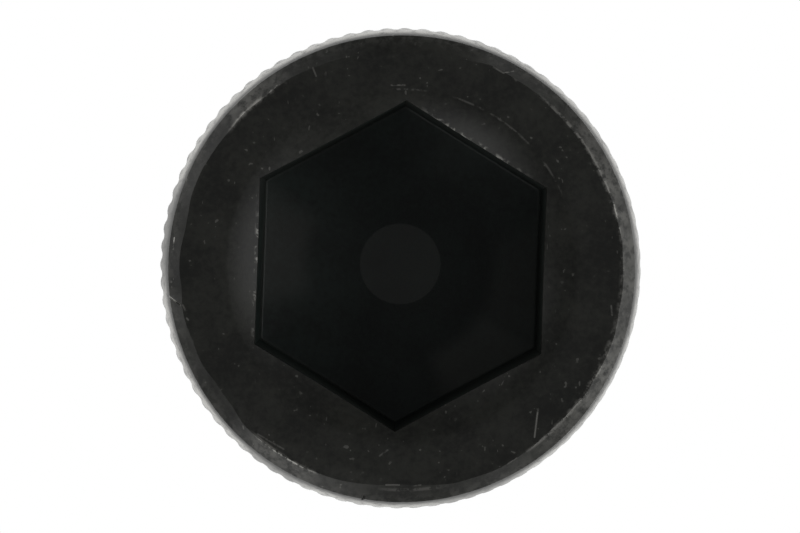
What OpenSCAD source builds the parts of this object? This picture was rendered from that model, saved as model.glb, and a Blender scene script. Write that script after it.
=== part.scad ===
// Hexagon socket head cap screw with a knurled head and a metric coarse thread, forged and rolled
// in one piece. Origin: centre of the bearing face under the head. +Z points out of the socket,
// and +X is square to a flat of the hexagon. Millimetres.

/* [Head] */
// Diameter over the knurl
head_d = 23.85; // [23.2:0.05:24.6]
// Height above the bearing face
head_h = 16; // [14.5:0.1:18]
// Width of the chamfer round the top face
top_chamfer = 0.63; // [0.4:0.01:0.8]
// Slope of that chamfer, up from level
top_chamfer_slope = 42; // [30:1:48]
// Width of the rounded shoulder between that chamfer and the knurl
shoulder_w = 0.42; // [0.3:0.01:0.5]
// Radius of that shoulder
shoulder_r = 2.6; // [2:0.1:4]
// Width of the bevel between the bearing face and the plain band above it
rim_bevel = 0.25; // [0.1:0.05:0.5]

/* [Knurl] */
// Number of straight teeth round the head
teeth = 80; // [60:1:90]
// Depth of a tooth
tooth_depth = 0.18; // [0.1:0.01:0.3]
// Width of a tooth's flat top
tooth_top_w = 0.2; // [0.1:0.01:0.3]
// Width of the flat bottom of a groove
groove_w = 0.2; // [0.1:0.01:0.3]
// Angle from the hexagon's flat to the middle of the first tooth
knurl_turn = 1; // [0:0.5:4]
// Height of the plain band below the teeth
plain_band_h = 1.8; // [1:0.1:4]

/* [Socket] */
// Width across the flats
socket_af = 14.15; // [13.8:0.05:14.4]
// Depth of the full hexagon at its corners
socket_depth = 8; // [7:0.1:9]
// Diameter of the flat at the bottom, left by the punch's nose
nose_d = 4.15; // [3:0.05:6]
// Slope of the conical floor round that flat, down from level
nose_slope = 11; // [5:1:20]
// How far the flared mouth reaches past the hexagon's corners
mouth_margin = 0.53; // [0.3:0.01:0.9]
// Slope of the flare where it leaves the top face
mouth_slope = 16; // [10:1:22]
// Slope of the flare where it meets the flats
lip_slope = 38; // [30:1:55]

/* [Shank] */
// Nominal length, from the bearing face to the tip
length = 40; // [30:1:50]
// Length of the plain neck under the head, the fillet included
neck_l = 3.5; // [2.5:0.5:5]
// Radius of the fillet between the neck and the bearing face
fillet_r = 0.8; // [0.5:0.1:1.2]

/* [Thread] */
// Nominal diameter, over the crests
thread_d = 16; // [15.6:0.1:16.4]
// Pitch
pitch = 2; // [1.5:0.25:2.5]
// Length over which the thread fades out into the neck
run_out_l = 2.5; // [1:0.5:4]
// Width of the chamfer round the tip
tip_chamfer = 1.6; // [1.4:0.1:2.2]
// Slope of that chamfer, up from level
tip_slope = 45; // [35:1:55]

/* [Hidden] */
round_fn = 160; // everything turned
arc_steps = 6; // facets along one arc of a section
turn_steps = 30; // facets in one turn of the thread
over = 1; // how far a part runs past a face that it meets or cuts
skin = 0.05; // a small clearance, so that two surfaces cross instead of touching
head_r = head_d / 2;
band_r = head_r - tooth_depth / 2;
bearing_r = band_r - rim_bevel;
chamfer_foot_r = head_r - shoulder_w;
chamfer_drop = top_chamfer * tan(top_chamfer_slope);
side_r = head_r + skin; // the turned head's side stands clear of the knurl
shoulder_start = 5; // off upright
shoulder_end = acos(cos(shoulder_start) - (shoulder_w + skin) / shoulder_r);
corner_r = socket_af / 2 / cos(30);
mouth_r = corner_r + mouth_margin;
lip_r = (mouth_r - socket_af / 2) / (sin(lip_slope) - sin(mouth_slope));
flank_angle = 30; // off a plane square to the axis
crest_w = pitch / 8;
thread_depth = 0.6134 * pitch;
flank_w = thread_depth * tan(flank_angle);
crest_r = thread_d / 2;
root_r = crest_r - thread_depth;
neck_r = crest_r - 0.6495 * pitch / 2; // the blank that a thread is rolled from has its pitch diameter
tip_r = crest_r - tip_chamfer;
fade_top = -neck_l - pitch / 4; // the thread is gone here, clear below the end of the neck
thread_turns = ceil((length - neck_l) / pitch) + 2;
thread_steps = thread_turns * turn_steps;

// Points of an arc about centre c, from angle a0 to angle a1
function arc(c, r, a0, a1) =
    [for (i = [0:arc_steps]) let (a = a0 + (a1 - a0) * i / arc_steps) c + r * [cos(a), sin(a)]];

// Half section of the head as turned: the bevel under the rim, rounded shoulder and top chamfer
module head_section() {
    shoulder_c = [
        side_r - shoulder_r * cos(shoulder_start),
        head_h - chamfer_drop - shoulder_r * sin(shoulder_end)
    ];
    polygon(concat(
        [[0, 0], [bearing_r, 0], [side_r, side_r - bearing_r]],
        arc(shoulder_c, shoulder_r, shoulder_start, shoulder_end),
        [[chamfer_foot_r - top_chamfer, head_h], [0, head_h]]
    ));
}

// Cross section of the straight knurl, one trapezoid tooth to a pitch
module knurl_section() {
    low_r = head_r - tooth_depth;
    top_half = tooth_top_w / 2 / head_r * 180 / PI;
    foot_half = 180 / teeth - groove_w / 2 / low_r * 180 / PI;
    polygon([
        for (i = [0:teeth - 1])
        for (corner = [[low_r, -foot_half], [head_r, -top_half], [head_r, top_half], [low_r, foot_half]])
        let (a = knurl_turn + i * 360 / teeth + corner.y)
        corner.x * [cos(a), sin(a)]
    ]);
}

// The head before its socket is punched
module knurled_blank() {
    intersection() {
        rotate_extrude($fn = round_fn) head_section();
        union() {
            translate([0, 0, -over])
                cylinder(r = band_r, h = plain_band_h + over, $fn = round_fn);
            translate([0, 0, plain_band_h])
                linear_extrude(head_h + over - plain_band_h) knurl_section();
        }
    }
}

// What the hexagon punch leaves: six flats over a conical floor with a flat disc in the middle
module socket_space() {
    clear_r = corner_r + skin;
    nose_h = (corner_r - nose_d / 2) * tan(nose_slope);
    floor_z = head_h - socket_depth;
    intersection() {
        rotate(30) translate([0, 0, floor_z - nose_h - over])
            cylinder(r = corner_r, h = socket_depth + nose_h + 2 * over, $fn = 6);
        rotate_extrude($fn = round_fn) polygon([
            [0, floor_z - nose_h], [nose_d / 2, floor_z - nose_h],
            [clear_r, floor_z + skin * tan(nose_slope)], [clear_r, head_h + over], [0, head_h + over]
        ]);
    }
}

// The flare at the mouth, whose side is rounded so that it leaves a soft lip on every flat
module mouth_space() {
    centre = [mouth_r + lip_r * sin(mouth_slope), head_h - lip_r * cos(mouth_slope)];
    side = arc(centre, lip_r, 90 + mouth_slope, 90 + lip_slope + 4);
    low = side[arc_steps];
    rotate_extrude($fn = round_fn) polygon(concat(
        [[0, head_h + over], [mouth_r + over / tan(mouth_slope), head_h + over]],
        side, [[0, low.y]]
    ));
}

// Neck and fillet, let into the head above and standing on the thread below
module neck() {
    rotate_extrude($fn = round_fn) polygon(concat(
        [[0, -neck_l], [neck_r, -neck_l]],
        [for (p = arc([0, 0], fillet_r, 180, 90)) [neck_r + fillet_r + p.x, -fillet_r + p.y]],
        [[neck_r + fillet_r, over], [0, over]]
    ));
}

// How much of the thread's full form is left at a height: 1 down the shank, 0 at the neck
function form(z) = max(0, min(1, (fade_top - z) / run_out_l));

// Corner j of the thread's profile after s facets: foot, crest, crest, foot
function thread_point(j, s) = let (
    z = -length - pitch + s / turn_steps * pitch
        + [0, flank_w, flank_w + crest_w, 2 * flank_w + crest_w][j],
    full_r = [root_r, crest_r, crest_r, root_r][j],
    plain_r = neck_r - skin,
    r = plain_r + (full_r - plain_r) * form(z),
    a = s * 360 / turn_steps
) [r * cos(a), r * sin(a), z];

// Number of corner j at facet s in the list of points
function corner_index(j, s) =
    j == 0 ? s : thread_steps + turn_steps + 1 + (j - 1) * (thread_steps + 1) + s;

// A solid rod of thread, longer than the shank at both ends
module thread_rod() {
    n = turn_steps;
    last = thread_steps;
    rims = concat(
        [for (s = [0:last + n]) thread_point(0, s)],
        [for (j = [1:3]) for (s = [0:last]) thread_point(j, s)]
    );
    low_axis = len(rims);
    high_axis = low_axis + 1;
    points = concat(rims, [[0, 0, thread_point(0, 0).z], [0, 0, thread_point(0, last + n).z]]);
    sides = [
        for (s = [0:last - 1]) for (j = [0:3])
        let (
            a = corner_index(j, s),
            b = j < 3 ? corner_index(j + 1, s) : corner_index(0, s + n),
            c = j < 3 ? corner_index(j + 1, s + 1) : corner_index(0, s + 1 + n),
            d = corner_index(j, s + 1)
        )
        each [[a, b, c], [a, c, d]]
    ];
    low_loop = concat([for (s = [0:n]) corner_index(0, s)], [for (j = [3:-1:1]) corner_index(j, 0)]);
    high_loop = concat([for (s = [last + n:-1:last]) corner_index(0, s)], [for (j = [1:3]) corner_index(j, last)]);
    low_cap = [for (i = [0:len(low_loop) - 1])
        [low_axis, low_loop[i], low_loop[(i + 1) % len(low_loop)]]];
    high_cap = [for (i = [0:len(high_loop) - 1])
        [high_axis, high_loop[i], high_loop[(i + 1) % len(high_loop)]]];
    polyhedron(points, concat(sides, low_cap, high_cap), convexity = 20);
}

// The rod cut to length, with its tip chamfered and its top let into the neck
module threaded_shank() {
    clear_r = crest_r + over;
    intersection() {
        thread_rod();
        rotate_extrude($fn = round_fn) polygon([
            [0, -length], [tip_r, -length], [clear_r, -length + (clear_r - tip_r) * tan(tip_slope)],
            [clear_r, -neck_l / 2], [0, -neck_l / 2]
        ]);
    }
}

module cap_screw() {
    color("#2b2c2b") union() {
        difference() {
            knurled_blank();
            socket_space();
            mouth_space();
        }
        neck();
        threaded_shank();
    }
}

cap_screw();
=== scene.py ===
"""A socket head cap screw in black oxide steel: turned, knurled, punched and thread rolled, on a white floor.

The screw's axis is Z. Its bearing face lies at Z = 0, the socket opens towards +Z, and +X is square to a flat
of the hexagon.
"""

import math
from contextlib import contextmanager
from types import SimpleNamespace

import bmesh
import bpy
from mathutils import Matrix, Quaternion, Vector


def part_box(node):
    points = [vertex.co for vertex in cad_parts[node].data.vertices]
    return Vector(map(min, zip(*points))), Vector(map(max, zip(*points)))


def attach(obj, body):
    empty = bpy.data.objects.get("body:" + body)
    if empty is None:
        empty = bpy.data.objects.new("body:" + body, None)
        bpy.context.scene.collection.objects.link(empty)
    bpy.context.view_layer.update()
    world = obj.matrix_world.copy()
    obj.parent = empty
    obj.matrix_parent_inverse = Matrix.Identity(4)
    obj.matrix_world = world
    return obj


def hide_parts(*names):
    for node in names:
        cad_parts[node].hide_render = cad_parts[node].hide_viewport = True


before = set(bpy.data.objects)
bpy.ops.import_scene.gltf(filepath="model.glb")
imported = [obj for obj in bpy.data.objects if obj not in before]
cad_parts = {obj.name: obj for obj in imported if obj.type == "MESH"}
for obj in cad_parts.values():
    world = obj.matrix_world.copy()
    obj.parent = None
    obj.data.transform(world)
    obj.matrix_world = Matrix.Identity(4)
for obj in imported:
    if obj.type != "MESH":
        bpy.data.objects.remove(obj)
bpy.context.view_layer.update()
cad_low, cad_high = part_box("cap_screw")

bl_info = {
    "name": "Socket Head Cap Screw",
    "version": (1, 0, 0),
    "blender": (4, 5, 0),
    "location": "3D View > Sidebar > Screw",
    "description": "Makes a knurled socket head cap screw, its black oxide finish and its studio",
    "category": "Mesh",
}

FULL_TURN = math.tau
# How close two vertices are, in metres, to be one
MERGE_DISTANCE = 1e-7


def mm(value):
    """Millimetres as metres."""
    return value / 1000


def linear(hex_value):
    """An sRGB hex value as linear red, green, blue and alpha."""
    parts = [int(hex_value[i : i + 2], 16) / 255 for i in (1, 3, 5)]
    return tuple(c / 12.92 if c <= 0.04045 else ((c + 0.055) / 1.055) ** 2.4 for c in parts) + (1.0,)


def length_setting(name, description, default_mm):
    """A length that a user sets, given in millimetres and kept in metres."""
    return bpy.props.FloatProperty(
        name=name, description=description, default=mm(default_mm), min=0.0, precision=5, unit="LENGTH"
    )


def angle_setting(name, description, default_deg):
    """An angle that a user sets, given in degrees and kept in radians."""
    return bpy.props.FloatProperty(
        name=name, description=description, default=math.radians(default_deg), subtype="ANGLE"
    )


def colour_setting(name, description, hex_value):
    """A colour that a user sets, given as an sRGB hex value and kept as linear light."""
    return bpy.props.FloatVectorProperty(
        name=name, description=description, default=linear(hex_value), subtype="COLOR", size=4, min=0, max=1
    )


class ScrewSizes(bpy.types.PropertyGroup):
    """The sizes of the screw."""

    length: length_setting("Length", "From the bearing face to the tip", -1000 * cad_low.z)
    head_h: length_setting("Head height", "Above the bearing face", 1000 * cad_high.z)
    head_d: length_setting("Head diameter", "Over the knurl", 23.95)
    top_chamfer: length_setting("Top chamfer", "Width of the chamfer round the top face", 0.63)
    chamfer_slope: angle_setting("Chamfer slope", "Up from level", 38)
    shoulder_w: length_setting("Shoulder width", "Between the chamfer and the knurl", 0.47)
    shoulder_r: length_setting("Shoulder radius", "Radius of the rounded shoulder", 6)
    rim_bevel: length_setting("Rim bevel", "Between the bearing face and the plain band", 0.25)
    teeth: bpy.props.IntProperty(name="Teeth", description="Straight teeth round the head", default=80, min=3)
    tooth_depth: length_setting("Tooth depth", "Depth of a groove of the knurl", 0.12)
    knurl_turn: angle_setting("Knurl turn", "From the hexagon's flat to the first tooth", 1)
    plain_band_h: length_setting("Plain band", "Height of the band below the teeth", 1.8)
    socket_af: length_setting("Across flats", "Width of the hexagon", 14.15)
    socket_depth: length_setting("Socket depth", "Depth of the full hexagon at its corners", 8)
    nose_d: length_setting("Nose flat", "Diameter of the flat at the bottom of the socket", 4.15)
    nose_slope: angle_setting("Floor slope", "Of the cone round that flat", 11)
    mouth_margin: length_setting("Mouth margin", "How far the flare reaches past the hexagon's corners", 0.53)
    mouth_slope: angle_setting("Mouth slope", "Of the flare at the top face", 16)
    lip_slope: angle_setting("Lip slope", "Of the flare at the flats", 38)
    punch_off: length_setting("Punch offset", "How far the punch hit from the head's axis", 0.14)
    punch_side: angle_setting("Punch offset direction", "From +X", 92)
    top_off: length_setting("Top offset", "How far the chamfer stands off the knurl's axis, towards +X", 0.05)
    thread_d: length_setting("Thread diameter", "Over the crests", 16)
    pitch: length_setting("Pitch", "Of the coarse thread", 2)
    neck_l: length_setting("Neck", "Plain length under the head, the fillet included", 3.5)
    fillet_r: length_setting("Fillet", "Under the head", 0.8)
    run_out_l: length_setting("Run-out", "Over which the thread fades into the neck", 2.5)
    tip_chamfer: length_setting("Tip chamfer", "Width of the chamfer round the tip", 1.6)


class ScrewFinish(bpy.types.PropertyGroup):
    """The colours of the screw's black oxide and of its bare steel, which shows where it is rubbed and also
    paints highlights, reflections and pools of light.
    """

    oxide: colour_setting("Oxide", "The black oxide coat", "#21221f")
    oxide_light: colour_setting("Light oxide", "Where the coat is thinner", "#3b3c37")
    socket_tint: colour_setting("Socket tint", "Multiplies the coat's colour in the socket", "#c4f3f4")
    # also the colour of painted highlights, reflections and pools of light
    bare: colour_setting("Bare steel", "Where edges are rubbed", "#a8a7a2")


class StudioSettings(bpy.types.PropertyGroup):
    """Where the camera stands and looks."""

    camera_height: length_setting("Camera height", "Above the top face", 181)
    camera_up: length_setting("Camera offset up", "Off the screw's axis, towards the view's top", 2.5)
    camera_left: length_setting("Camera offset left", "Off the screw's axis, towards the view's left", 0.5)
    camera_roll: angle_setting("Camera roll", "About the line of sight", 2)
    aim_up: length_setting("Aim up", "Where the camera looks, towards the view's top", 0.104)
    aim_left: length_setting("Aim left", "Where the camera looks, towards the view's left", 0.028)
    focal_px: bpy.props.FloatProperty(
        name="Focal length", description="In pixels of a view 800 wide", default=3683, min=1
    )


# --- Bench work -------------------------------------------------------------------------------------------


def polar(r, turn, z):
    """A point at radius r, angle turn and height z."""
    return Vector((r * math.cos(turn), r * math.sin(turn), z))


def arc(centre, r, start, end, steps=8):
    """Points (radius, height) of an arc in the half section, from angle start to angle end."""
    return [
        (centre[0] + r * math.cos(a), centre[1] + r * math.sin(a))
        for a in (start + (end - start) * i / steps for i in range(steps + 1))
    ]


def select_only(piece):
    """Deselects everything else, and makes a piece the active one."""
    bpy.ops.object.select_all(action="DESELECT")
    piece.select_set(True)
    bpy.context.view_layer.objects.active = piece


@contextmanager
def editing(piece, mode="VERT"):
    """Edit mode on one piece alone."""
    select_only(piece)
    bpy.ops.object.mode_set(mode="EDIT")
    bpy.ops.mesh.select_mode(type=mode)
    yield
    bpy.ops.object.mode_set(mode="OBJECT")


def pick(piece, kind, test):
    """Selects the vertices, edges or faces that pass a test, in edit mode, and returns how many."""
    mesh = bmesh.from_edit_mesh(piece.data)
    bpy.ops.mesh.select_all(action="DESELECT")
    chosen = [item for item in getattr(mesh, kind) if test(item)]
    for item in chosen:
        item.select_set(True)
    mesh.select_flush_mode()
    bmesh.update_edit_mesh(piece.data)
    return len(chosen)


def trace(name, outline, turn=0.0):
    """Draws a half section, a list of (radius, height), as a line of edges that stands at angle turn."""
    bpy.ops.object.select_all(action="DESELECT")
    bpy.ops.mesh.primitive_plane_add(size=mm(1), location=(0, 0, 0))
    piece = bpy.context.object
    piece.name = piece.data.name = name
    points = [polar(r, turn, z) for r, z in outline]
    with editing(piece):
        bpy.ops.mesh.select_all(action="SELECT")
        bpy.ops.mesh.merge(type="CENTER")
        bpy.ops.transform.translate(value=points[0])
        for a, b in zip(points, points[1:]):
            bpy.ops.mesh.extrude_region_move(TRANSFORM_OT_translate={"value": b - a})
    return piece


def close_up():
    """Merges doubles and turns the faces outwards, in edit mode."""
    bpy.ops.mesh.select_all(action="SELECT")
    bpy.ops.mesh.remove_doubles(threshold=MERGE_DISTANCE)
    bpy.ops.mesh.normals_make_consistent(inside=False)


def turn_on_lathe(name, outline, steps, turn=0.0):
    """Turns a half section about Z into a closed body."""
    piece = trace(name, outline, turn)
    with editing(piece):
        bpy.ops.mesh.select_all(action="SELECT")
        bpy.ops.mesh.spin(steps=steps, angle=FULL_TURN, center=(0, 0, 0), axis=(0, 0, 1))
        close_up()
    return piece


def apply_modifier(piece, kind, **settings):
    """Adds a modifier with its settings and applies it."""
    select_only(piece)
    modifier = piece.modifiers.new(kind.title(), kind)
    for key, value in settings.items():
        setattr(modifier, key, value)
    bpy.ops.object.modifier_apply(modifier=modifier.name)


def combine(piece, tool, operation):
    """Joins, cuts or limits a piece by a tool, which is used up."""
    apply_modifier(piece, "BOOLEAN", operation=operation, solver="EXACT", object=tool)
    bpy.data.objects.remove(tool)


# --- The screw --------------------------------------------------------------------------------------------

# How deep the groove is at each step from one tooth's top to the next, as a share of the full depth
GROOVE_FORM = (0.0, 0.12, 0.5, 0.9, 1.0, 0.9, 0.5, 0.12)
STEPS_PER_TOOTH = len(GROOVE_FORM)
# How far the knurl takes to reach its full height above the plain band
KNURL_RUN_IN = mm(0.35)
# How far a ring of vertices may be off its radius. The shoulder's rings stand at least twice this apart
RING_TOLERANCE = 1e-6
THREAD_STEPS = 96
# Small radii that the punch leaves: between a flat and the floor, and round the disc
FLAT_FOOT_BEVEL = mm(0.16)
NOSE_BEVEL = mm(0.07)
# Faces that meet at less than this are smooth
SMOOTH_ANGLE = math.radians(24)


def corner_radius(s):
    """Radius over the hexagon's corners."""
    return s.socket_af / 2 / math.cos(math.radians(30))


def mouth_radius(s):
    """Radius of the edge that the flare leaves on the top face."""
    return corner_radius(s) + s.mouth_margin


def foot_radius(s):
    """Radius of the chamfer's foot, where the shoulder starts."""
    return s.head_d / 2 - s.shoulder_w


def edge_radius(s):
    """Radius of the chamfer's inner edge, on the top face."""
    return foot_radius(s) - s.top_chamfer


def neck_radius(s):
    """Radius of the blank that the thread is rolled from: half its pitch diameter."""
    return s.thread_d / 2 - 0.6495 * s.pitch / 2


def root_radius(s):
    """Radius at the bottom of the thread's groove."""
    return s.thread_d / 2 - 0.6134 * s.pitch


def punch_shift(s):
    """How far and which way the punch, and the flare that it left, stand off the head's axis."""
    return polar(s.punch_off, s.punch_side, 0)


def head_outline(s):
    """Half section of the head and neck: run-out cone, neck, fillet, bearing face, side, top and flare."""
    head_r = s.head_d / 2
    band_r = head_r - s.tooth_depth / 2
    mouth_r = mouth_radius(s)
    chamfer_drop = s.top_chamfer * math.tan(s.chamfer_slope)
    shoulder_end = math.acos(1 - s.shoulder_w / s.shoulder_r)
    shoulder_z = s.head_h - chamfer_drop - s.shoulder_r * math.sin(shoulder_end)
    lip_r = (mouth_r - s.socket_af / 2) / (math.sin(s.lip_slope) - math.sin(s.mouth_slope))
    lip_centre = (mouth_r + lip_r * math.sin(s.mouth_slope), s.head_h - lip_r * math.cos(s.mouth_slope))
    past_lip = math.radians(4)
    dish_z = s.head_h - mm(1.5)
    upright, level = math.radians(90), math.radians(180)
    neck_r = neck_radius(s)
    # the cone under the neck ends inside the thread's core
    cone_r = root_radius(s) - mm(0.06)
    cone_z = -s.neck_l - s.run_out_l
    return (
        [(0, cone_z - mm(0.3)), (cone_r, cone_z), (neck_r, -s.neck_l)]
        + arc((neck_r + s.fillet_r, -s.fillet_r), s.fillet_r, level, upright)
        + [(band_r - s.rim_bevel, 0), (band_r, s.rim_bevel), (band_r, s.plain_band_h)]
        + [(head_r, s.plain_band_h + KNURL_RUN_IN)]
        + arc((head_r - s.shoulder_r, shoulder_z), s.shoulder_r, 0, shoulder_end, 14)
        + [(edge_radius(s), s.head_h), (mouth_r + mm(0.6), s.head_h)]
        + arc(lip_centre, lip_r, upright + s.mouth_slope, upright + s.lip_slope + past_lip, 10)
        + [(0, dish_z)]
    )


def roll_knurl(piece, s):
    """Presses straight rounded grooves round the head's side: at each step of the groove's form, the rings
    of vertices that stand too far out are brought in to the groove."""
    head_r = s.head_d / 2
    low = s.plain_band_h + mm(0.1)
    step = FULL_TURN / (s.teeth * STEPS_PER_TOOTH)
    side = [r for r, z in head_outline(s) if z > low]
    rings = [head_r] + [r for r in side if head_r - s.tooth_depth < r < head_r - RING_TOLERANCE]

    def phase(v):
        """Which step of the groove's form a vertex stands at."""
        return round((math.atan2(v.co.y, v.co.x) - s.knurl_turn) / step) % STEPS_PER_TOOTH

    with editing(piece):
        for depth_share in sorted(set(GROOVE_FORM) - {0.0}):
            groove_r = head_r - s.tooth_depth * depth_share
            phases = {i for i, share in enumerate(GROOVE_FORM) if share == depth_share}
            for r in (r for r in rings if r > groove_r):
                pick(
                    piece,
                    "verts",
                    lambda v: v.co.z > low
                    and abs(v.co.xy.length - r) < RING_TOLERANCE
                    and phase(v) in phases,
                )
                scale = groove_r / r
                bpy.ops.transform.resize(value=(scale, scale, 1), center_override=(0, 0, 0))


def make_punch(s):
    """The hexagon punch: a turned bar with a conical nose and a flat end, with six flats cut on it."""
    corner_r = corner_radius(s)
    spare = mm(0.05)
    bar_r = corner_r + spare
    floor_z = s.head_h - s.socket_depth
    nose_z = floor_z - (corner_r - s.nose_d / 2) * math.tan(s.nose_slope)
    top_z = s.head_h + mm(2)
    outline = [
        (0, nose_z), (s.nose_d / 2, nose_z), (bar_r, floor_z + spare * math.tan(s.nose_slope)),
        (bar_r, top_z), (0, top_z),
    ]

    def at_flat_foot(edge):
        """Whether an edge lies between one of the flats and the conical floor."""
        if len(edge.link_faces) != 2:
            return False
        slopes = sorted(abs(face.normal.z) for face in edge.link_faces)
        return slopes[0] < 0.1 and slopes[1] > 0.5 and edge.verts[0].co.z < s.head_h

    def round_nose(edge):
        """Whether an edge lies on the circle round the flat end."""
        on_end = all(abs(v.co.z - nose_z) < MERGE_DISTANCE for v in edge.verts)
        return on_end and abs(sum(v.co.xy.length for v in edge.verts) - s.nose_d) < mm(0.02)

    punch = turn_on_lathe("punch", outline, 144)
    with editing(punch, "EDGE"):
        for i in range(6):
            normal = polar(1, i * FULL_TURN / 6, 0)
            bpy.ops.mesh.select_all(action="SELECT")
            bpy.ops.mesh.bisect(
                plane_co=normal * s.socket_af / 2, plane_no=normal, use_fill=True, clear_outer=True,
                threshold=MERGE_DISTANCE,
            )
        pick(punch, "edges", at_flat_foot)
        bpy.ops.mesh.bevel(offset=FLAT_FOOT_BEVEL, segments=4, affect="EDGES")
        pick(punch, "edges", round_nose)
        bpy.ops.mesh.bevel(offset=NOSE_BEVEL, segments=3, affect="EDGES")
        bpy.ops.mesh.select_all(action="SELECT")
        bpy.ops.transform.translate(value=punch_shift(s))
    return punch


def thread_outline(s):
    """One pitch of the thread's section, from the middle of one root to the next."""
    root_r, crest_r = root_radius(s), s.thread_d / 2
    round_r = s.pitch * math.sqrt(3) / 12
    half = s.pitch / 2
    half_crest = s.pitch / 16
    ease = mm(0.03)
    root = [
        (root_r + round_r - round_r * math.cos(a), -half + round_r * math.sin(a))
        for a in (math.radians(15 * i) for i in range(5))
    ]
    flank_top = (crest_r - ease, -half_crest - ease * math.tan(math.radians(30)))
    rise = root + [flank_top, (crest_r, -half_crest + ease)]
    return rise + [(r, -z) for r, z in reversed(rise)]


def roll_thread(s):
    """The threaded length: a helix run longer than needed, then limited by a turned blank."""
    low = -s.length - 1.5 * s.pitch
    turns = math.ceil((s.length - s.neck_l) / s.pitch) + 2
    rod = trace("thread", [(r, z + low) for r, z in thread_outline(s)])
    apply_modifier(
        rod, "SCREW", axis="Z", angle=FULL_TURN, screw_offset=s.pitch, iterations=turns,
        steps=THREAD_STEPS, render_steps=THREAD_STEPS, use_merge_vertices=False,
    )
    with editing(rod):
        bpy.ops.mesh.select_all(action="SELECT")
        bpy.ops.mesh.remove_doubles(threshold=mm(0.001))
        for is_end in (lambda z: z < -s.length, lambda z: z > -s.neck_l):
            picked = pick(rod, "edges", lambda e: e.is_boundary and is_end(e.verts[0].co.z))
            if not picked:
                raise RuntimeError("The thread's end isn't open")
            bpy.ops.mesh.extrude_region_move(TRANSFORM_OT_translate={"value": (0, 0, 0)})
            bpy.ops.mesh.merge(type="CENTER")
        close_up()
    crest_r, clear_r = s.thread_d / 2, s.thread_d / 2 + mm(0.2)
    tip_r = crest_r - s.tip_chamfer
    fade_low = -s.neck_l - s.run_out_l - s.pitch / 4
    fade_high = -s.neck_l - s.pitch / 8
    top_z = -s.neck_l + mm(0.3)
    outline = [
        (0, -s.length), (tip_r, -s.length), (clear_r, -s.length + clear_r - tip_r), (clear_r, fade_low),
        (neck_radius(s) + mm(0.02), fade_high), (neck_radius(s) - mm(0.05), top_z), (0, top_z),
    ]
    # the blank's edges stand between the thread's, so that none of them coincide
    blank = turn_on_lathe("blank", outline, THREAD_STEPS, math.radians(0.7))
    combine(rod, blank, "INTERSECT")
    return rod


# Where the chamfer is wider than elsewhere: direction and half width in degrees, and the share of MOST_WIDER
WIDE_CHAMFER = ((92, 30, 0.7), (213, 20, 0.3), (272, 16, 0.6))
MOST_WIDER = mm(0.4)
# How the chamfer's inner edge wanders along each axis: the size of its waves and how far it goes
EDGE_WAVES = (("X", mm(2.6)), ("Y", mm(3.4)))
EDGE_WANDER = mm(0.4)


def shape_chamfer(piece, s):
    """Widens parts of the chamfer, and lets its inner edge wander as a forged and tumbled edge does."""
    edge_r = edge_radius(s)
    near = mm(0.01)
    rim = [
        v for v in piece.data.vertices
        if abs(v.co.xy.length - edge_r) < near and abs(v.co.z - s.head_h) < near
    ]
    edge = piece.vertex_groups.new(name="edge")
    edge.add([v.index for v in rim], 1.0, "REPLACE")
    wide = piece.vertex_groups.new(name="wide")
    for v in rim:
        shares = [0.0]
        for turn_deg, half_deg, share in WIDE_CHAMFER:
            off = v.co.xy.angle(polar(1, math.radians(turn_deg), 0).xy) / math.radians(half_deg)
            shares.append(share * (0.5 + 0.5 * math.cos(math.pi * min(off, 1))))
        wide.add([v.index], max(shares), "REPLACE")
    apply_modifier(
        piece, "CAST", cast_type="CYLINDER", use_z=False, factor=1.0, size=edge_r - MOST_WIDER,
        use_radius_as_size=False, vertex_group="wide",
    )
    for axis, wave in EDGE_WAVES:
        clouds = bpy.data.textures.new(f"edge_{axis}", "CLOUDS")
        clouds.noise_scale = wave
        clouds.noise_depth = 1
        apply_modifier(
            piece, "DISPLACE", direction=axis, texture=clouds, texture_coords="LOCAL", mid_level=0.5,
            strength=EDGE_WANDER, vertex_group="edge",
        )


def shift_top(screw, s):
    """Lets the turned top, with its chamfer and shoulder, stand off the knurl's axis. The shift fades out
    down the first millimetres of the teeth."""
    low, high = s.head_h - mm(2.5), s.head_h - mm(0.9)
    inner_r = s.head_d / 2 - mm(2.5)
    top = screw.vertex_groups.new(name="top")
    for v in screw.data.vertices:
        if v.co.z > low and v.co.xy.length > inner_r:
            rise = min((v.co.z - low) / (high - low), 1)
            top.add([v.index], rise * rise * (3 - 2 * rise), "REPLACE")
    apply_modifier(screw, "DISPLACE", direction="X", strength=s.top_off, mid_level=0.0, vertex_group="top")


def shift_flare(screw, s):
    """Moves the flare to stand round the punch."""
    low, reach = s.head_h - mm(2), mouth_radius(s) + mm(0.1)
    with editing(screw):
        pick(screw, "verts", lambda v: v.co.z > low and v.co.xy.length < reach)
        bpy.ops.transform.translate(value=punch_shift(s))


# Blows that another screw's edge left in the rim: start and end of each, in millimetres, and its width
NICKS = (
    ((-11.5, -1.67, 15.42), (-10.76, -2.16, 15.92), 0.07),
    ((-1.4, -11.25, 15.63), (-1.66, -11.75, 15.1), 0.12),
)


def make_nick(start_mm, end_mm, width_mm):
    """The edge of a bar that leaves one nick: a long block standing on its corner."""
    start, end = Vector(start_mm) / 1000, Vector(end_mm) / 1000
    run = end - start
    turn = run.to_track_quat("X", "Z") @ Quaternion((1, 0, 0), math.radians(45))
    bpy.ops.object.select_all(action="DESELECT")
    bpy.ops.mesh.primitive_cube_add(size=1, location=(start + end) / 2, rotation=turn.to_euler())
    bar = bpy.context.object
    bar.scale = (run.length, mm(width_mm), mm(width_mm))
    bpy.ops.object.transform_apply(location=True, rotation=True, scale=True)
    return bar


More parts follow.
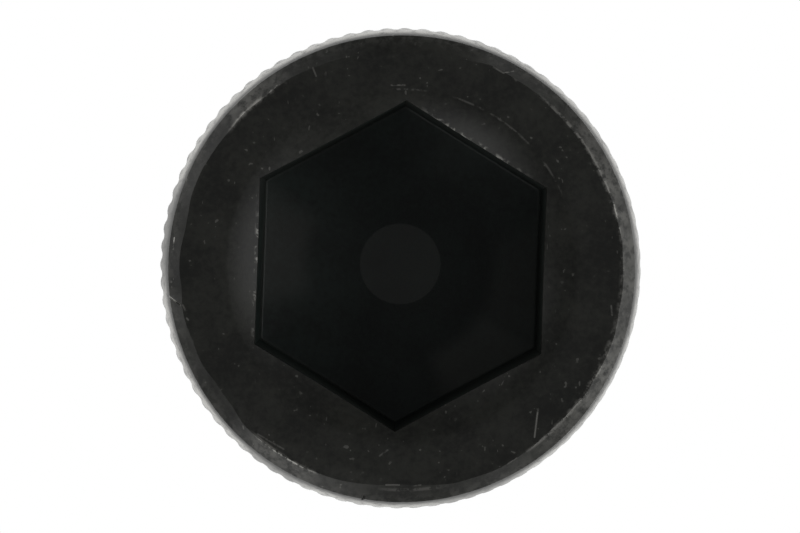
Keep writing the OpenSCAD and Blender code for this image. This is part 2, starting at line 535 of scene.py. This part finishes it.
def make_screw(s):
    """The whole screw as one closed body."""
    screw = turn_on_lathe("screw", head_outline(s), s.teeth * STEPS_PER_TOOTH, s.knurl_turn)
    shape_chamfer(screw, s)
    roll_knurl(screw, s)
    shift_top(screw, s)
    shift_flare(screw, s)
    for nick in NICKS:
        combine(screw, make_nick(*nick), "DIFFERENCE")
    combine(screw, make_punch(s), "DIFFERENCE")
    combine(screw, roll_thread(s), "UNION")
    with editing(screw):
        bpy.ops.mesh.select_all(action="SELECT")
        bpy.ops.mesh.remove_doubles(threshold=MERGE_DISTANCE / 10)
    bpy.ops.object.shade_smooth_by_angle(angle=SMOOTH_ANGLE)
    foot_r = foot_radius(s)
    middle = Vector((s.top_off, 0))

    def on_foot(v):
        """Whether a vertex stands on the chamfer's foot, which stays sharp."""
        return v.co.z > 0 and abs((v.co.xy - middle).length - foot_r) < RING_TOLERANCE

    with editing(screw, "EDGE"):
        marked = pick(screw, "edges", lambda e: all(on_foot(v) for v in e.verts))
        if marked < s.teeth:
            raise RuntimeError("The chamfer's foot wasn't found")
        bpy.ops.mesh.mark_sharp()
    return screw


# --- Finish -----------------------------------------------------------------------------------------------


def add_node(tree, kind, inputs=None, **settings):
    """Adds a node with its settings, and links or sets its inputs, given by name or number. A node given as
    an input stands for its first output."""
    node = tree.nodes.new(kind)
    for key, value in settings.items():
        setattr(node, key, value)
    for key, value in (inputs or {}).items():
        if isinstance(value, bpy.types.Node):
            value = value.outputs[0]
        if isinstance(value, bpy.types.NodeSocket):
            tree.links.new(value, node.inputs[key])
        else:
            node.inputs[key].default_value = value
    return node


def zone(tree, strength, *limits):
    """A mask for a part of the surface. Each limit is a measure, the value at which the mask is gone and the
    value at which it is full, and they are multiplied together."""
    mask = None
    for measure, gone, full in limits:
        step = add_node(
            tree, "ShaderNodeMapRange", {"Value": measure, "From Min": gone, "From Max": full},
            interpolation_type="SMOOTHSTEP",
        )
        mask = add_node(tree, "ShaderNodeMath", {0: mask, 1: step}, operation="MULTIPLY") if mask else step
    return add_node(tree, "ShaderNodeMath", {0: mask, 1: strength}, operation="MULTIPLY")


def strongest(tree, masks):
    """A mask that is at each point as strong as the strongest of several."""
    result = masks[0]
    for mask in masks[1:]:
        result = add_node(tree, "ShaderNodeMath", {0: result, 1: mask}, operation="MAXIMUM")
    return result


def stretches(tree, direction, rows):
    """A mask for stretches of the head, each within some degrees of one direction from the axis. It is full
    over the middle fifth of a stretch."""
    masks = []
    for centre_deg, half_deg, strength in rows:
        aim = add_node(
            tree, "ShaderNodeVectorMath", {0: direction, 1: polar(1, math.radians(centre_deg), 0)},
            operation="DOT_PRODUCT",
        )
        half = math.radians(half_deg)
        masks.append(zone(tree, strength, (aim.outputs["Value"], math.cos(half), math.cos(half * 0.2))))
    return strongest(tree, masks)


def distance_to(tree, place, start_mm, end_mm):
    """The distance from one straight scratch, between two points of the surface given in millimetres."""
    start, end = Vector(start_mm) / 1000, Vector(end_mm) / 1000
    run = end - start
    off = add_node(tree, "ShaderNodeVectorMath", {0: place, 1: start}, operation="SUBTRACT")
    along = add_node(
        tree, "ShaderNodeVectorMath", {0: off, 1: run / run.length_squared}, operation="DOT_PRODUCT"
    )
    part = add_node(tree, "ShaderNodeClamp", {"Value": along.outputs["Value"]})
    foot = add_node(tree, "ShaderNodeVectorMath", {0: run, "Scale": part}, operation="SCALE")
    gap = add_node(tree, "ShaderNodeVectorMath", {0: off, 1: foot}, operation="DISTANCE")
    return gap.outputs["Value"]


def flecks(tree, place, size_mm, cut, turn_deg, lengthen):
    """A mask for small marks scattered over the surface: the peaks of a noise above a cut, drawn out along
    one way."""
    turned = add_node(
        tree, "ShaderNodeMapping",
        {"Vector": place, "Rotation": (0, 0, math.radians(turn_deg)), "Scale": (1, 1 / lengthen, 1)},
    )
    peaks = add_node(tree, "ShaderNodeTexNoise", {"Vector": turned, "Scale": 1 / mm(size_mm), "Detail": 1.0})
    return zone(tree, 1.0, (peaks, cut, cut + 0.035))


# Stretches of the head: each has its middle and half width in degrees round from +X, and its strength.
# Where the chamfer is lighter: partly rubbed against other screws, partly painted highlight where the lamps
# fall on it
RUBBED_AND_LIT_RIM = (
    (0, 40, 0.63), (27, 22, 1.0), (45, 10, 0.3), (76, 14, 0.2), (133, 14, 1.0), (163, 14, 0.25),
    (240, 16, 0.65), (256, 16, 0.3), (273, 9, 0.3), (304, 18, 0.3), (330, 26, 0.85),
)
# Where the chamfer's inner edge took the hardest knocks
KNOCKED_EDGE = ((30, 28, 1.0), (136, 10, 0.8), (240, 13, 1.0), (275, 12, 0.5), (322, 20, 1.0))
# Where the top face beside the chamfer has lain against other screws
RESTING_FACE = ((243, 34, 1.0),)
# Where the painted reflection on the ends of the knurl's teeth is weaker
WEAK_RIM_REFLECTION = ((5, 12, 0.3), (174, 18, 0.75), (240, 12, 0.6), (292, 16, 0.6))
# Where the edge that the flare leaves on the top face is rubbed, and where the lips over the flats are
# lighter, partly rubbed and partly painted highlight
RUBBED_FLARE = ((57, 40, 1.0), (95, 14, 1.0))
LIT_AND_RUBBED_LIPS = ((62, 30, 1.0), (184, 32, 1.0))
OTHER_LIPS = 0.12
# The flat left in painted shade, while the others are painted lighter
SHADED_FLAT = ((184, 40, 1.0),)
# Where the floor of the socket is painted lighter, as pools of light where the lamps reach it
LIT_FLOOR = ((175, 32, 0.75), (312, 30, 1.0), (66, 14, 0.26), (350, 40, 0.6))

# How much bare steel shows in each place, from 0 for a sound coat to 1 for bright steel. Some places are
# rubbed, and others are painted highlight, reflection or light, as noted at each
WEAR_AND_PAINTED_LIGHT = {
    # the chamfer and the rubbed edge follow stretches that are partly painted highlight
    "chamfer": 0.46,
    "chamfer foot": 0.2,
    "rubbed edge": 0.85,
    "knocked edge": 0.8,
    "face": 0.07,
    # painted reflection of the white floor
    "reflection on ends of teeth": 1.0,
    "crests of teeth": 0.3,
    "flare edge": 0.42,
    # partly painted highlight
    "lips": 0.6,
    # painted highlight along the flats' foot
    "highlight at foot of flats": 0.12,
    # painted sheen
    "disc": 0.1,
    # painted light, on all flats but the one left in painted shade
    "flats": 0.09,
    # painted pools of light
    "light on socket floor": 0.16,
    "thread": 0.45,
    "flecks": 0.4,
}

# Marks that go through the coat: start and end, in millimetres, and strength
SCRATCHES = (
    ((6.99, -6.64, 16.0), (6.87, -8.03, 16.0), 0.8),
    ((4.22, 10.07, 16.0), (4.72, 9.8, 16.0), 0.6),
    ((4.72, 9.8, 16.0), (5.2, 9.92, 15.75), 0.6),
    ((0.65, 10.9, 15.95), (1.54, 10.86, 15.95), 0.8),
    ((-0.76, 9.02, 16.0), (-0.12, 9.04, 16.0), 0.6),
    ((10.4, -1.36, 16.0), (10.47, -1.9, 16.0), 0.5),
    ((-11.22, 0.6, 15.66), (-11.2, 1.15, 15.65), 1.0),
    ((-11.5, -1.67, 15.39), (-10.76, -2.16, 15.89), 1.0),
    ((-10.64, -2.15, 16.0), (-10.43, -2.53, 16.0), 0.5),
    ((-10.42, -2.78, 16.0), (-10.35, -2.86, 16.0), 0.6),
    ((-6.74, -8.36, 16.0), (-5.44, -9.05, 16.0), 0.45),
    ((-0.35, -10.64, 16.0), (0.3, -10.62, 16.0), 0.7),
    ((0.75, -10.74, 16.0), (1.35, -10.58, 16.0), 0.6),
    ((-4.73, 9.9, 16.0), (-4.48, 9.33, 16.0), 0.45),
    ((-0.71, -9.22, 16.0), (-0.33, -8.92, 16.0), 0.4),
    ((5.6, -9.4, 16.0), (6.04, -9.1, 16.0), 0.5),
)
# Scattered flecks: the size of the noise in millimetres, the cut, the turn in degrees and the lengthening
FLECKS = ((0.3, 0.715, 0, 1), (0.2, 0.745, 35, 3), (0.22, 0.75, -50, 2.5))


def measure_surface(tree, s):
    """What the masks are made from at each point of the surface: its place, height and direction, its
    distance from the axes of the knurl (radius), of the turned top (rim) and of the punch (mouth), its
    distance from that last axis square to the nearest flat (across), and two noises that break up the wear.
    """
    place = add_node(tree, "ShaderNodeTexCoord").outputs["Object"]
    level = add_node(tree, "ShaderNodeVectorMath", {0: place, 1: (1, 1, 0)}, operation="MULTIPLY")
    turned = add_node(tree, "ShaderNodeVectorMath", {0: level, 1: (s.top_off, 0, 0)}, operation="SUBTRACT")
    punched = add_node(tree, "ShaderNodeVectorMath", {0: level, 1: punch_shift(s)}, operation="SUBTRACT")
    radius, rim, mouth = (
        add_node(tree, "ShaderNodeVectorMath", {0: off}, operation="LENGTH").outputs["Value"]
        for off in (level, turned, punched)
    )
    across = []
    for turn_deg in (0, 60, 120):
        reach = add_node(
            tree, "ShaderNodeVectorMath", {0: punched, 1: polar(1, math.radians(turn_deg), 0)},
            operation="DOT_PRODUCT",
        )
        across.append(add_node(tree, "ShaderNodeMath", {0: reach.outputs["Value"]}, operation="ABSOLUTE"))
    return SimpleNamespace(
        place=place,
        height=add_node(tree, "ShaderNodeSeparateXYZ", {0: place}).outputs["Z"],
        direction=add_node(tree, "ShaderNodeVectorMath", {0: level}, operation="NORMALIZE"),
        radius=radius,
        rim=rim,
        mouth=mouth,
        across=strongest(tree, across),
        # rubbing breaks up into patches about 0.3 mm long, and comes and goes over a millimetre or two
        broken=add_node(
            tree, "ShaderNodeTexNoise",
            {"Vector": place, "Scale": 1 / mm(0.45), "Detail": 4.0, "Roughness": 0.65},
        ),
        uneven=add_node(tree, "ShaderNodeTexNoise", {"Vector": place, "Scale": 1 / mm(1.6), "Detail": 2.0}),
    )


def rim_wear_and_light(tree, s, at):
    """Masks for the bare steel on the chamfer, the top face beside it and the knurl: rubbed in places,
    painted highlight on the chamfer and painted reflection on the ends of the teeth.
    """
    head_r, foot_r, edge_r = s.head_d / 2, foot_radius(s), edge_radius(s)
    inside_foot = (at.rim, foot_r + mm(0.1), foot_r)
    on_chamfer = (at.height, s.head_h - mm(1.2), s.head_h - mm(0.8))
    near_top = (at.height, s.head_h - mm(0.4), s.head_h - mm(0.2))
    rubbed_and_lit = stretches(tree, at.direction, RUBBED_AND_LIT_RIM)
    knocked = stretches(tree, at.direction, KNOCKED_EDGE)
    resting = stretches(tree, at.direction, RESTING_FACE)
    dim_reflection = stretches(tree, at.direction, WEAK_RIM_REFLECTION)
    return [
        # the chamfer: bare in stretches, partly rubbed and partly painted highlight, lighter towards its
        # foot, and bright along its inner edge
        zone(
            tree, WEAR_AND_PAINTED_LIGHT["chamfer"], (at.rim, edge_r - mm(0.12), edge_r + mm(0.08)), inside_foot, on_chamfer,
            (rubbed_and_lit, 0.0, 1.0), (at.uneven, 0.1, 0.6), (at.broken, 0.3, 0.6),
        ),
        zone(
            tree, WEAR_AND_PAINTED_LIGHT["chamfer foot"], (at.rim, edge_r - mm(0.1), foot_r), inside_foot, on_chamfer,
            (at.broken, 0.4, 0.62),
        ),
        zone(
            tree, WEAR_AND_PAINTED_LIGHT["rubbed edge"], (at.rim, edge_r - mm(0.22), edge_r),
            (at.rim, edge_r + mm(0.26), edge_r), near_top, (rubbed_and_lit, 0.2, 1.0), (at.broken, 0.46, 0.62),
        ),
        zone(
            tree, WEAR_AND_PAINTED_LIGHT["knocked edge"], (at.rim, edge_r - mm(0.12), edge_r - mm(0.02)),
            (at.rim, edge_r + mm(0.14), edge_r + mm(0.02)), near_top, (knocked, 0.0, 1.0),
            (at.broken, 0.4, 0.54),
        ),
        zone(
            tree, WEAR_AND_PAINTED_LIGHT["face"], (at.rim, edge_r - mm(1), edge_r - mm(0.25)),
            (at.rim, edge_r + mm(0.1), edge_r), near_top, (resting, 0.0, 1.0), (at.broken, 0.3, 0.6),
        ),
        # the knurl: the ends of its teeth, bright all round as a painted reflection of the white floor, and
        # their crests
        zone(
            tree, WEAR_AND_PAINTED_LIGHT["reflection on ends of teeth"], (at.rim, foot_r - mm(0.02), foot_r + mm(0.27)),
            (at.height, s.head_h - mm(2.6), s.head_h - mm(1.8)), (at.uneven, -0.3, 0.5), (dim_reflection, 1.5, 0.0),
            (at.broken, 0.1, 0.55),
        ),
        zone(
            tree, WEAR_AND_PAINTED_LIGHT["crests of teeth"], (at.radius, head_r - mm(0.04), head_r - mm(0.005)),
            (at.height, 0.0, mm(0.3)), (at.broken, 0.47, 0.62),
        ),
    ]


def socket_wear_and_light(tree, s, at):
    """Masks for the bare steel on the flare, the lips, the flats, the floor and the disc: rubbed in places,
    and painted highlight, sheen and light in others.
    """
    corner_r, mouth_r, flat = corner_radius(s), mouth_radius(s), s.socket_af / 2
    floor_z = s.head_h - s.socket_depth
    in_hexagon = (at.mouth, corner_r + mm(0.2), corner_r)
    above_nose = (at.height, floor_z - mm(2.5), floor_z - mm(2))
    rubbed_flare = stretches(tree, at.direction, RUBBED_FLARE)
    lit_and_rubbed_lips = strongest(tree, [stretches(tree, at.direction, LIT_AND_RUBBED_LIPS), OTHER_LIPS])
    shaded_flat = stretches(tree, at.direction, SHADED_FLAT)
    lit_floor = stretches(tree, at.direction, LIT_FLOOR)
    return [
        # the edge that the flare leaves on the top face, and the lip over each flat, partly rubbed and partly
        # painted highlight
        zone(
            tree, WEAR_AND_PAINTED_LIGHT["flare edge"], (at.mouth, mouth_r - mm(0.08), mouth_r),
            (at.mouth, mouth_r + mm(0.08), mouth_r), (at.height, s.head_h - mm(0.8), s.head_h - mm(0.4)),
            (rubbed_flare, 0.0, 1.0), (at.uneven, 0.44, 0.56), (at.broken, 0.42, 0.58),
        ),
        zone(
            tree, WEAR_AND_PAINTED_LIGHT["lips"], (at.across, flat - mm(0.08), flat + mm(0.02)),
            (at.across, flat + mm(0.22), flat + mm(0.04)), (at.mouth, mouth_r, corner_r),
            (at.height, s.head_h - mm(1.4), s.head_h - mm(1.1)), (lit_and_rubbed_lips, 0.0, 1.0),
            (at.broken, 0.5, 0.6),
        ),
        # the flats, painted lighter except the one left in painted shade, and their foot, a painted highlight
        # along its small radius
        zone(
            tree, WEAR_AND_PAINTED_LIGHT["flats"], (at.across, flat - mm(0.08), flat - mm(0.02)), in_hexagon,
            (at.height, floor_z + mm(0.2), floor_z + mm(0.6)),
            (at.height, s.head_h - mm(0.9), s.head_h - mm(1.2)), (shaded_flat, 1.0, 0.0),
        ),
        zone(
            tree, WEAR_AND_PAINTED_LIGHT["highlight at foot of flats"], (at.across, flat - mm(0.2), flat - mm(0.06)), in_hexagon,
            (at.height, floor_z + mm(0.8), floor_z + mm(0.3)),
            (at.height, floor_z - mm(1), floor_z - mm(0.7)),
        ),
        # the floor, with painted pools of light where the lamps reach it, and the disc that the punch's nose
        # left, with a painted sheen
        zone(
            tree, WEAR_AND_PAINTED_LIGHT["light on socket floor"], (at.mouth, mm(4.3), mm(5.5)), in_hexagon,
            (at.height, floor_z + mm(1), floor_z + mm(0.5)), above_nose, (lit_floor, 0.0, 1.0),
        ),
        zone(
            tree, WEAR_AND_PAINTED_LIGHT["disc"], (at.mouth, s.nose_d / 2 + mm(0.04), s.nose_d / 2 - mm(0.02)),
            (at.height, floor_z, floor_z - mm(0.3)), above_nose,
        ),
    ]


def marks(tree, s, at):
    """Masks for the scratches, for the flecks on the top and the side of the head, and for the thread."""
    head_r, crest_r = s.head_d / 2, s.thread_d / 2
    scratches = [
        zone(
            tree, strength, (distance_to(tree, at.place, start, end), mm(0.065), mm(0.015)),
            (at.broken, 0.36, 0.52),
        )
        for start, end, strength in SCRATCHES
    ]
    dots = strongest(tree, [flecks(tree, at.place, *row) for row in FLECKS])
    return scratches + [
        zone(
            tree, WEAR_AND_PAINTED_LIGHT["flecks"], (dots, 0.0, 1.0), (at.uneven, 0.42, 0.6),
            (at.height, s.head_h - mm(0.9), s.head_h - mm(0.6)),
        ),
        zone(tree, WEAR_AND_PAINTED_LIGHT["flecks"], (dots, 0.0, 1.0), (at.radius, head_r - mm(0.4), head_r - mm(0.2))),
        zone(
            tree, WEAR_AND_PAINTED_LIGHT["thread"], (at.radius, crest_r - mm(0.08), crest_r), (at.height, 0.0, -s.neck_l),
            (at.broken, 0.47, 0.62),
        ),
    ]


def black_oxide_steel(finish, s):
    """Black oxide on forged alloy steel, oiled: a thin dark coat with a soft sheen, and bare steel where it
    is rubbed through, which is brighter and smoother than the coat. The same bare steel also paints
    highlights, reflections and pools of light."""
    material = bpy.data.materials.new("black_oxide_steel")
    material.use_nodes = True
    tree = material.node_tree
    shader = tree.nodes["Principled BSDF"]
    at = measure_surface(tree, s)
    # bare steel where rubbed, and painted highlights, reflections and pools of light
    worn_and_lit = strongest(tree, rim_wear_and_light(tree, s, at) + socket_wear_and_light(tree, s, at) + marks(tree, s, at))

    # the coat is a little thinner in patches some 2 mm across. The grain that forging and tumbling leave is
    # finer than 0.05 mm, and is drawn at 0.3 mm so that it shows
    patches = add_node(tree, "ShaderNodeTexNoise", {"Vector": at.place, "Scale": 1 / mm(2.4), "Detail": 3.0})
    grain = add_node(
        tree, "ShaderNodeTexNoise",
        {"Vector": at.place, "Scale": 1 / mm(0.3), "Detail": 5.0, "Roughness": 0.7},
    )
    mottle = add_node(tree, "ShaderNodeMath", {0: patches, 1: grain}, operation="ADD")
    thin = zone(tree, 1.0, (mottle, 0.7, 1.3))
    coat = add_node(
        tree, "ShaderNodeMix", {0: thin, 6: finish.oxide, 7: finish.oxide_light}, data_type="RGBA"
    )
    # deep in the socket the coat is a little darker and bluer
    deep = zone(
        tree, 1.0, (at.radius, corner_radius(s) + mm(0.2), corner_radius(s)),
        (at.height, s.head_h - mm(0.9), s.head_h - mm(1.4)), (at.height, mm(1), mm(2)),
    )
    tinted = add_node(
        tree, "ShaderNodeMix", {0: deep, 6: coat.outputs[2], 7: finish.socket_tint}, data_type="RGBA",
        blend_type="MULTIPLY",
    )
    surface = add_node(
        tree, "ShaderNodeMix", {0: worn_and_lit, 6: tinted.outputs[2], 7: finish.bare}, data_type="RGBA"
    )
    dull = add_node(tree, "ShaderNodeMapRange", {"Value": grain, "To Min": 0.36, "To Max": 0.5})
    polish = add_node(tree, "ShaderNodeMapRange", {"Value": worn_and_lit, "To Min": 1.0, "To Max": 0.6})
    roughness = add_node(tree, "ShaderNodeMath", {0: dull, 1: polish}, operation="MULTIPLY")
    relief = add_node(tree, "ShaderNodeMath", {0: grain, 1: worn_and_lit}, operation="SUBTRACT")
    bump = add_node(tree, "ShaderNodeBump", {"Height": relief, "Strength": 0.35, "Distance": mm(0.02)})
    tree.links.new(surface.outputs[2], shader.inputs["Base Color"])
    tree.links.new(worn_and_lit.outputs[0], shader.inputs["Metallic"])
    tree.links.new(roughness.outputs[0], shader.inputs["Roughness"])
    tree.links.new(bump.outputs[0], shader.inputs["Normal"])
    return material


# --- Studio -----------------------------------------------------------------------------------------------

# The room's light, as a share of white: everywhere, added low down, and added in the ceiling's patch
ROOM_LIGHT, LOW_LIGHT, CEILING_LIGHT = 0.07, 0.15, 0.25
# Each lamp: its direction and rise in degrees as the head sees it, its width and height in metres, and its
# brightness as a share of white
LAMPS = {
    "lamp_right": (-6, 25, 0.66, 0.54, 1.08),
    "lamp_low_left": (243, 23, 0.36, 0.42, 1.2),
    "lamp_left": (152, 14, 0.6, 0.3, 0.63),
}
LAMP_DISTANCE = 0.7
# How far below the top face the camera looks
AIM_DEPTH = mm(1.7)


def seen_rays(tree):
    """A mask for the rays by which a surface is seen: straight, reflected or through glass."""
    rays = add_node(tree, "ShaderNodeLightPath")
    return strongest(tree, [rays.outputs[f"Is {kind} Ray"] for kind in ("Camera", "Glossy", "Transmission")])


def make_floor():
    """A floor of white paper just under the screw's tip. A viewer sees it white, and it keeps a soft shadow
    round the tip."""
    bpy.ops.object.select_all(action="DESELECT")
    bpy.ops.mesh.primitive_plane_add(size=6, location=(0, 0, cad_low.z - mm(0.02)))
    floor = bpy.context.object
    floor.name = "floor"
    material = bpy.data.materials.new("white_paper")
    material.use_nodes = True
    tree = material.node_tree
    paper = tree.nodes["Principled BSDF"]
    paper.inputs["Base Color"].default_value = linear("#f4f4f2")
    paper.inputs["Roughness"].default_value = 0.9
    glow = add_node(tree, "ShaderNodeEmission", {"Color": (1, 1, 1, 1), "Strength": 1.0})
    place = add_node(tree, "ShaderNodeTexCoord").outputs["Object"]
    off = add_node(tree, "ShaderNodeVectorMath", {0: place}, operation="LENGTH").outputs["Value"]
    share = add_node(
        tree, "ShaderNodeMapRange",
        {"Value": off, "From Min": mm(7), "From Max": mm(15), "To Min": 0.6, "To Max": 1.0},
        interpolation_type="SMOOTHSTEP",
    )
    lit = add_node(tree, "ShaderNodeMath", {0: seen_rays(tree), 1: share}, operation="MULTIPLY")
    both = add_node(tree, "ShaderNodeMixShader", {0: lit, 1: paper, 2: glow})
    tree.links.new(both.outputs[0], tree.nodes["Material Output"].inputs["Surface"])
    floor.data.materials.append(material)


def make_surroundings():
    """A dim room: lighter low down all round the screw, with a lighter patch of ceiling above the camera and
    a white strip behind the floor's far edge."""
    world = bpy.data.worlds.new("surroundings")
    bpy.context.scene.world = world
    world.use_nodes = True
    tree = world.node_tree
    background = tree.nodes["Background"]
    aim = add_node(tree, "ShaderNodeTexCoord").outputs["Generated"]
    up = add_node(tree, "ShaderNodeSeparateXYZ", {0: aim}).outputs["Z"]
    low = zone(tree, LOW_LIGHT, (up, 0.3, 0.0))
    ceiling = zone(tree, CEILING_LIGHT, (up, 0.94, 0.995))
    level = add_node(tree, "ShaderNodeMath", {0: low, 1: ceiling}, operation="ADD")
    level = add_node(tree, "ShaderNodeMath", {0: level, 1: ROOM_LIGHT}, operation="ADD")
    strip = zone(tree, 1.0, (up, 0.16, 0.08), (seen_rays(tree), 0.0, 1.0))
    level = strongest(tree, [level, strip])
    background.inputs["Color"].default_value = (1, 1, 1, 1)
    tree.links.new(level.outputs[0], background.inputs["Strength"])


def add_lamp(name, turn_deg, rise_deg, width, height, brightness):
    """A soft box that is aimed at the head."""
    head = Vector((0, 0, cad_high.z))
    rise = math.radians(rise_deg)
    aim = polar(math.cos(rise), math.radians(turn_deg), math.sin(rise))
    bpy.ops.object.light_add(
        type="AREA", location=head + aim * LAMP_DISTANCE, rotation=aim.to_track_quat("Z", "Y").to_euler()
    )
    lamp = bpy.context.object
    lamp.name = name
    lamp.data.shape = "RECTANGLE"
    lamp.data.size = width
    lamp.data.size_y = height
    lamp.data.energy = brightness * math.pi * width * height


def add_camera(studio):
    """The camera above the head, a little off its axis."""
    across = polar(1, studio.camera_roll, 0)
    up = polar(1, studio.camera_roll + math.radians(90), 0)
    place = Vector((0, 0, cad_high.z + studio.camera_height))
    place += up * studio.camera_up - across * studio.camera_left
    aim = Vector((0, 0, cad_high.z - AIM_DEPTH)) + up * studio.aim_up - across * studio.aim_left
    back = (place - aim).normalized()
    right = up.cross(back).normalized()
    turn = Matrix((right, back.cross(right), back)).transposed()
    bpy.ops.object.camera_add(location=place, rotation=turn.to_euler())
    camera = bpy.context.object
    camera.name = "camera"
    camera.data.sensor_width = 36
    camera.data.lens = studio.focal_px * camera.data.sensor_width / 800
    camera.data.clip_start = 0.005
    camera.data.clip_end = 10
    bpy.context.scene.camera = camera


# --- Operators --------------------------------------------------------------------------------------------


class SCREW_OT_forge(bpy.types.Operator):
    """Makes the screw as one piece with its black oxide finish."""

    bl_idname = "screw.forge"
    bl_label = "Make the screw"

    def execute(self, context):
        sizes = context.scene.screw_sizes
        screw = make_screw(sizes)
        screw.data.materials.clear()
        screw.data.materials.append(black_oxide_steel(context.scene.screw_finish, sizes))
        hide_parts("cap_screw")
        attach(screw, "root")
        return {"FINISHED"}


class SCREW_OT_stage(bpy.types.Operator):
    """Makes the floor, the white surroundings, the soft lamps and the camera."""

    bl_idname = "screw.stage"
    bl_label = "Make the studio"

    def execute(self, context):
        context.scene.view_settings.view_transform = "Standard"
        make_floor()
        make_surroundings()
        for name, settings in LAMPS.items():
            add_lamp(name, *settings)
        add_camera(context.scene.screw_studio)
        return {"FINISHED"}


class SCREW_PT_panel(bpy.types.Panel):
    """Lists the steps, in their order, in the 3D view's sidebar."""

    bl_idname = "SCREW_PT_panel"
    bl_label = "Socket head cap screw"
    bl_space_type = "VIEW_3D"
    bl_region_type = "UI"
    bl_category = "Screw"

    def draw(self, context):
        for operator in (SCREW_OT_forge, SCREW_OT_stage):
            self.layout.operator(operator.bl_idname)


CLASSES = (ScrewSizes, ScrewFinish, StudioSettings, SCREW_OT_forge, SCREW_OT_stage, SCREW_PT_panel)


def register():
    for item in CLASSES:
        bpy.utils.register_class(item)
    bpy.types.Scene.screw_sizes = bpy.props.PointerProperty(type=ScrewSizes)
    bpy.types.Scene.screw_finish = bpy.props.PointerProperty(type=ScrewFinish)
    bpy.types.Scene.screw_studio = bpy.props.PointerProperty(type=StudioSettings)


def unregister():
    del bpy.types.Scene.screw_studio
    del bpy.types.Scene.screw_finish
    del bpy.types.Scene.screw_sizes
    for item in reversed(CLASSES):
        bpy.utils.unregister_class(item)


def main():
    register()
    bpy.ops.screw.forge()
    bpy.ops.screw.stage()


if __name__ == "__main__":
    main()
